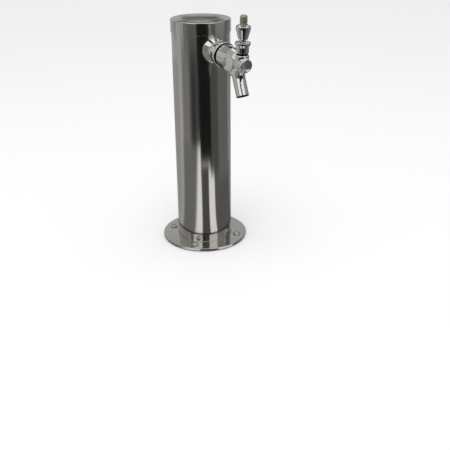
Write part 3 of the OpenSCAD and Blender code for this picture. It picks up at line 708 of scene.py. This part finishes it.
def body_inside(x, u, v):
    """Inside of the cast body: chamber, passage, shaft guide, lever slot, and the spout's throat and bore.

    Each is a round bar, and the slot a box, and the least of their distances counts.
    """
    radial = np.hypot(x, v)
    chamber = rod(radial, u, CHAMBER_R, 0, SEAT_AT, CRISP)
    passage = rod(radial, u, PASSAGE_R, SEAT_AT - OVERLAP, GUIDE_REAR, CRISP)
    guide = rod(radial, u, GUIDE_R, GUIDE_REAR - OVERLAP, GUIDE_FRONT, CRISP)

    along, across = on_spout(u, v)
    from_spout = np.hypot(across, x)
    bore_r = np.interp(along, (SPOUT_LEN - SPOUT_MOUTH_LEN, SPOUT_LEN), (SPOUT_BORE_R, SPOUT_MOUTH_R))
    bore = rod(from_spout, along, bore_r, SPOUT_BORE_TOP, SPOUT_LEN + PAST, BROKEN)
    throat = rod(from_spout, along, SPOUT_THROAT_R, 0, SPOUT_BORE_TOP + OVERLAP, BROKEN)

    slot_ends = np.abs(u - LEVER_AT + LEVER_SLOT_BACK) - LEVER_SLOT_REACH
    slot_sides = np.maximum(np.abs(x) - LEVER_SLOT_HALF, np.maximum(slot_ends, -v))
    slot = np.maximum(slot_sides, v - BOSS_H)
    mouth_top = BONNET_THREAD_TOP + PAST
    mouth = rod(np.hypot(x, u - LEVER_AT), v, LEVER_MOUTH_R, LEVER_MOUTH_LOW, mouth_top, CRISP)
    hollow = np.minimum(np.minimum(chamber, passage), np.minimum(guide, slot))
    return np.minimum(np.minimum(hollow, mouth), np.minimum(bore, throat))


def body_distance(x, u, v):
    """The casting: its outside less its inside, with the edges of the holes broken."""
    return trim(body_outside(x, u, v), -body_inside(x, u, v), BODY_HOLE_EDGE)


def body_painted_shade(x, u, v):
    """Where shade is painted on the casting: its inside, and a dark band on the rounded end of the spout."""
    along, _ = on_spout(u, v)
    return np.minimum(body_inside(x, u, v), SPOUT_LEN - SPOUT_EDGE - along)


casting = moulded(body_distance, BODY_LOW, BODY_HIGH, BODY_CELL)
# Painted shade on the casting's inner surfaces and as a dark band on the spout's rounded end
paint_inner_shade(dress("faucet_casting", casting, "tower", "chrome", ["faucet_body"]), body_painted_shade)


# Bonnet, lever and ferrule

def bonnet_outline():
    """The bonnet: groove, straight neck, flared lip, conical mouth, the ball's socket and the bore."""
    return rounded(
        (BONNET_BORE_R, BONNET_LOW, 0.1), (GROOVE_R, BONNET_LOW, 0.1), (GROOVE_R, GROOVE_TOP, 0.1),
        (BONNET_NECK_R, GROOVE_TOP + 0.3, 0.3), (BONNET_NECK_R, BONNET_NECK_TOP, 1.6),
        (BONNET_LIP_R, BONNET_LIP_LOW, 0.8), (BONNET_LIP_R, BONNET_TOP, 0.6),
        (BONNET_MOUTH_R, BONNET_TOP, 0.25), (BONNET_WAIST_R, BONNET_WAIST_H, 0.3),
        (BONNET_SOCKET_R, PIVOT_H, 0.3), (BONNET_BORE_R, BONNET_BORE_TOP, 0.1))


def groove_inside(x, u, v):
    """The groove's room round the bonnet's foot, with the thread inside it, where shade is painted."""
    return np.maximum(np.hypot(x, u - LEVER_AT) - GROOVE_R, v - GROOVE_TOP)


def ferrule_outline():
    """The ferrule: foot, cone, straight rim with rounded edges, a top that rises to the stud, and bore."""
    return rounded(
        (FERRULE_BORE_R, FERRULE_LOW, 0.2), (FERRULE_FOOT_R, FERRULE_LOW, 0.4),
        (FERRULE_R, FERRULE_RIM_LOW, 1.2), (FERRULE_R, FERRULE_RIM_TOP, 0.8),
        (FERRULE_CROWN_R, FERRULE_TOP, 0.3), (FERRULE_BORE_R, FERRULE_TOP, 0.2))


def ball_points(middle, radius, low, high):
    """Arc of a ball's outline, from the radius low, below its middle, to the radius high, above it."""
    angle = np.linspace(-math.acos(low / radius), math.acos(high / radius), BALL_STEPS)
    return np.stack([radius * np.cos(angle), middle + radius * np.sin(angle)], axis=1)


def lever_outline():
    """The lever below its stud: tip, stem, ball, neck, and the plain core inside the ferrule."""
    core_top = FERRULE_TOP + STUD_SUNK
    upper = rounded(
        (NECK_R, PIVOT_H + BALL_R, 0), (NECK_R, FERRULE_LOW, 0.2), (CORE_R, FERRULE_LOW, 0.2),
        (CORE_R, core_top, 0), (0, core_top, 0), closed=False)
    tip, ball = ball_points(0, TIP_R, 0, STEM_R), ball_points(PIVOT_H, BALL_R, STEM_R, NECK_R)
    return np.concatenate([tip, ball, upper[1:]])


def stud_thread():
    """The handle's thread: the radius is a triangle wave of height over pitch less the turn.

    The wave is cut flat at crest and root and held under a cone at the upper end. Both ends close on the
    axis.
    """
    low = FERRULE_TOP - STUD_SUNK
    rows = int((STUD_TOP - low) / STUD_PITCH * THREAD_ROWS)
    height = np.linspace(low, STUD_TOP, rows)[:, None]
    angle = np.linspace(0, 2 * math.pi, LEVER_AROUND, endpoint=False)[None]
    phase = (height / STUD_PITCH - angle / (2 * math.pi)) % 1
    wave = np.clip(np.abs(2 * phase - 1) * THREAD_GAIN - THREAD_FLAT, 0, 1)
    cone = STUD_R - STUD_CHAMFER + (STUD_TOP - height)
    radius = np.minimum(STUD_ROOT_R + (STUD_R - STUD_ROOT_R) * wave, cone)
    pole = np.zeros((1, LEVER_AROUND))
    radius = np.concatenate([pole, radius, pole])
    height = np.concatenate([height[:1], height, height[-1:]])
    points = along_lever(radius * np.cos(angle), radius * np.sin(angle), height + 0 * angle)
    return points.reshape(-1, 3), grid_faces(rows + 2, LEVER_AROUND, False, True), None


bonnet = turned(bonnet_outline(), along_lever)
lever_arm = turned(lever_outline(), along_lever, closed=False, around=LEVER_AROUND)
# Painted shade on the bonnet's foot inside the groove
paint_inner_shade(dress("bonnet", bonnet, "tower", "chrome", ["lever_bonnet"]), groove_inside)
dress("ferrule", turned(ferrule_outline(), along_lever), "lever", "chrome", ["lever_ferrule"])
dress("lever_arm", lever_arm, "lever", "chrome", ["lever"])
dress("handle_thread", stud_thread(), "lever", "brass")


# Camera at the photograph's angle

CAMERA_AT = Vector((-0.40754, -0.77976, 0.44040))
CAMERA_FORWARD = Vector((0.4429, 0.7824, -0.4379))
CAMERA_UP = Vector((0.2215, 0.3778, 0.8990))
CAMERA_LENS, CAMERA_SENSOR = 53.305, 36.0
CAMERA_BEARING = math.degrees(math.atan2(CAMERA_AT.x, -CAMERA_AT.y))

view = bpy.data.cameras.new("camera")
view.sensor_width = CAMERA_SENSOR
view.lens = CAMERA_LENS
camera = bpy.data.objects.new("camera", view)
back = -CAMERA_FORWARD.normalized()
right = CAMERA_UP.cross(back).normalized()
turned_to = Matrix((right, back.cross(right), back)).transposed().to_4x4()
camera.matrix_world = Matrix.Translation(CAMERA_AT) @ turned_to
bpy.context.scene.collection.objects.link(camera)
bpy.context.scene.camera = camera


# Studio: floor, reflection cards, lamp and world

def stage_mesh(name, points, faces, material):
    """A mesh that belongs to the studio and not to the object."""
    mesh = bpy.data.meshes.new(name)
    mesh.from_pydata(points.tolist(), [], faces.tolist())
    mesh.materials.append(material)
    made = bpy.data.objects.new(name, mesh)
    bpy.context.scene.collection.objects.link(made)
    return made


def glow(name, strength):
    """A card that shines evenly and fades out where its cover falls to nought at its edges."""
    material = bpy.data.materials.new(name)
    material.use_nodes = True
    tree = material.node_tree
    tree.nodes.clear()
    shine = tree.nodes.new("ShaderNodeEmission")
    shine.inputs["Strength"].default_value = strength
    clear = tree.nodes.new("ShaderNodeBsdfTransparent")
    cover = tree.nodes.new("ShaderNodeAttribute")
    cover.attribute_name = "cover"
    mix = tree.nodes.new("ShaderNodeMixShader")
    output = tree.nodes.new("ShaderNodeOutputMaterial")
    tree.links.new(cover.outputs["Fac"], mix.inputs["Fac"])
    tree.links.new(clear.outputs["BSDF"], mix.inputs[1])
    tree.links.new(shine.outputs["Emission"], mix.inputs[2])
    tree.links.new(mix.outputs["Shader"], output.inputs["Surface"])
    return material


CARD_TURNS, CARD_STEPS = 64, 24


def card(name, inner, outer, strength, soft_turn, soft_reach):
    """A card round the column, seen in reflections alone.

    It is a grid over the bearing, in degrees to the right of the camera, and the way from its inner edge to
    its outer edge. Each edge is given as its two bearings and its radius and height in metres. The cover
    rises from nought at the edges as a smooth step of the way in, over soft_turn degrees and soft_reach of
    the way. With a soft_reach of nought, the inner and the outer edge are hard.
    """
    side = np.linspace(0, 1, CARD_TURNS)[:, None]
    share = np.linspace(0, 1, CARD_STEPS)[None] ** 2
    start, end, radius, height = (a + (b - a) * share for a, b in zip(inner, outer))
    turn = start + (end - start) * side
    bearing = np.radians(CAMERA_BEARING + turn)
    points = upright(radius * np.sin(bearing), -radius * np.cos(bearing), height)
    edge = np.clip(np.minimum(turn - start, end - turn) / soft_turn, 0, 1)
    if soft_reach > 0:
        edge = edge * np.clip(np.minimum(share, 1 - share) / soft_reach, 0, 1)
    cover = edge * edge * (3 - 2 * edge)
    faces = grid_faces(CARD_TURNS, CARD_STEPS, False, False)
    made = stage_mesh(name, points.reshape(-1, 3), faces, glow(name, strength))
    made.data.attributes.new("cover", "FLOAT", "POINT").data.foreach_set("value", cover.ravel())
    made.visible_camera = False
    made.visible_diffuse = False
    made.visible_shadow = False


# Each card's name, inner edge, outer edge, strength, soft_turn and soft_reach. On the floor a higher card
# covers a lower one, and round the walls a nearer card covers one behind it.
NEAR, FAR, WALL = 0.0605, 3.0, 1.25
CARDS = (
    ("floor_back_left", (-185, -100, NEAR, 0.001), (-185, -100, FAR, 0.001), 0.38, 6, 0),
    ("floor_far_left", (-108, -73, NEAR, 0.0012), (-108, -73, FAR, 0.0012), 0.47, 5, 0),
    ("floor_back_right", (122, 185, NEAR, 0.001), (122, 185, FAR, 0.001), 0.27, 6, 0),
    ("floor_left_near", (-93, -25, NEAR, 0.0014), (-93, -14, 0.48, 0.0014), 0.20, 14, 0),
    ("floor_left_far", (-86, -10, 0.44, 0.0018), (-86, -10, FAR, 0.0018), 0.235, 6, 0.02),
    ("floor_right_near", (40, 128, NEAR, 0.0014), (41, 128, 0.34, 0.0014), 0.12, 3, 0),
    ("floor_right_far", (50, 128, 0.22, 0.0018), (50, 128, FAR, 0.0018), 0.165, 8, 0.03),
    ("floor_right_mid", (24, 66, 0.27, 0.0022), (24, 66, FAR, 0.0022), 0.09, 6, 0.02),
    ("floor_front_near", (-9, 20, NEAR, 0.0014), (-12, 21, 0.34, 0.0014), 0.09, 3, 0),
    ("floor_front_soft", (-58, 20, 0.44, 0.0024), (-58, 20, FAR, 0.0024), 0.045, 20, 0.01),
    ("floor_front_far", (-13, 34, 0.30, 0.0028), (-15, 34, FAR, 0.0028), 0.013, 4, 0.03),
    ("floor_front_line", (-26, -17, 0.44, 0.0030), (-26, -17, FAR, 0.0030), 0.09, 3, 0.02),
    ("floor_shadow", (-185, 185, 0.0603, 0.0036), (-185, 185, 0.0670, 0.0036), 0.02, 2, 0.15),
    ("wall_back_low", (140, 264, WALL, 0.0), (140, 264, WALL, 0.8), 0.48, 4, 0),
    ("wall_back_foot", (225, 258, 1.23, 0.0), (225, 258, 1.23, 0.34), 0.33, 6, 0.4),
    ("wall_back_band", (176.3, 183.7, 1.23, 0.475), (176.3, 183.7, 1.23, 0.56), 0.0, 1.0, 0.12),
    ("wall_back_streak", (166, 188, 1.23, 0.70), (166, 188, 1.23, 1.35), 0.02, 3, 0.1),
    ("wall_back_high", (140, 264, WALL, 0.8), (140, 264, WALL, 1.5), 0.30, 4, 0.1),
    ("wall_back_top", (193, 258, WALL, 1.42), (193, 258, WALL, 2.5), 0.40, 4, 0.1),
    ("wall_left", (-102, -66, WALL, 0.0), (-102, -66, WALL, 1.3), 0.44, 4, 0.1),
    ("wall_left_mid", (-68, -50, 1.22, 0.0), (-68, -50, 1.22, 0.98), 0.20, 3, 0.05),
    ("wall_front_top", (-32, -4, WALL, 1.25), (-32, -4, WALL, 1.80), 0.28, 4, 0.1),
    ("wall_left_low", (-70, -10, WALL, 0.0), (-70, -10, WALL, 0.3), 0.14, 4, 0.2),
    ("wall_right", (52, 100, WALL, 0.0), (52, 100, WALL, 1.3), 0.32, 4, 0.1),
    ("wall_back_right", (98, 144, WALL, 0.0), (98, 144, WALL, 1.5), 0.17, 4, 0.1),
    ("wall_front_low", (-13, 20, WALL, -0.03), (-13, 20, WALL, 0.76), 0.02, 2, 0.02),
    ("wall_front_foot", (-18, 34, 1.24, -0.03), (-18, 28, 1.24, 0.34), 0.013, 3, 0.02),
    ("wall_front", (-14, 8, WALL, 0.74), (-14, 8, WALL, 1.3), 0.0, 2, 0.05),
    ("ceiling_front", (-75, -25, 0.42, 2.2), (-75, -25, 1.15, 2.2), 0.02, 4, 0.1),
    ("ceiling_back", (95, 165, 0.25, 2.2), (95, 165, 1.5, 2.2), 0.17, 6, 0.1),
)
for values in CARDS:
    card(*values)


def pale_floor():
    """Pale matt floor that keeps the object's shadow."""
    material, _, shader = nodes_of("pale_floor")
    shader.inputs["Base Color"].default_value = (0.93, 0.93, 0.93, 1)
    shader.inputs["Roughness"].default_value = 0.9
    shader.inputs["Specular IOR Level"].default_value = 0.1
    return material


FLOOR_HALF = 12.0
LAMP_AIM = Vector((0, 0, 0.15))
AMBIENT = 0.93

corners = np.array([(-1, -1, 0), (1, -1, 0), (1, 1, 0), (-1, 1, 0)]) * FLOOR_HALF
stage_mesh("floor", corners, np.array([[0, 1, 2, 3]]), pale_floor())


def softbox(name, place, width, power):
    """A square area lamp that faces the column."""
    lamp = bpy.data.lights.new(name, "AREA")
    lamp.size = width
    lamp.energy = power
    made = bpy.data.objects.new(name, lamp)
    made.location = place
    made.rotation_mode = "QUATERNION"
    made.rotation_quaternion = (LAMP_AIM - Vector(place)).to_track_quat("-Z", "Y")
    made.visible_glossy = False
    bpy.context.scene.collection.objects.link(made)


softbox("softbox_top", (-0.35, -0.45, 1.6), 0.9, 6)

world = bpy.data.worlds.new("studio")
bpy.context.scene.world = world
world.use_nodes = True
tree = world.node_tree
background = tree.nodes["Background"]
background.inputs["Color"].default_value = (1, 1, 1, 1)
path = tree.nodes.new("ShaderNodeLightPath")
seen = path.outputs["Is Camera Ray"]
for ray in ("Is Glossy Ray", "Is Transmission Ray"):
    either = tree.nodes.new("ShaderNodeMath")
    either.operation = "MAXIMUM"
    tree.links.new(seen, either.inputs[0])
    tree.links.new(path.outputs[ray], either.inputs[1])
    seen = either.outputs["Value"]
level = tree.nodes.new("ShaderNodeMapRange")
level.inputs["To Min"].default_value = AMBIENT
level.inputs["To Max"].default_value = 1.0
tree.links.new(seen, level.inputs["Value"])
tree.links.new(level.outputs["Result"], background.inputs["Strength"])

bpy.context.scene.view_settings.view_transform = "Standard"
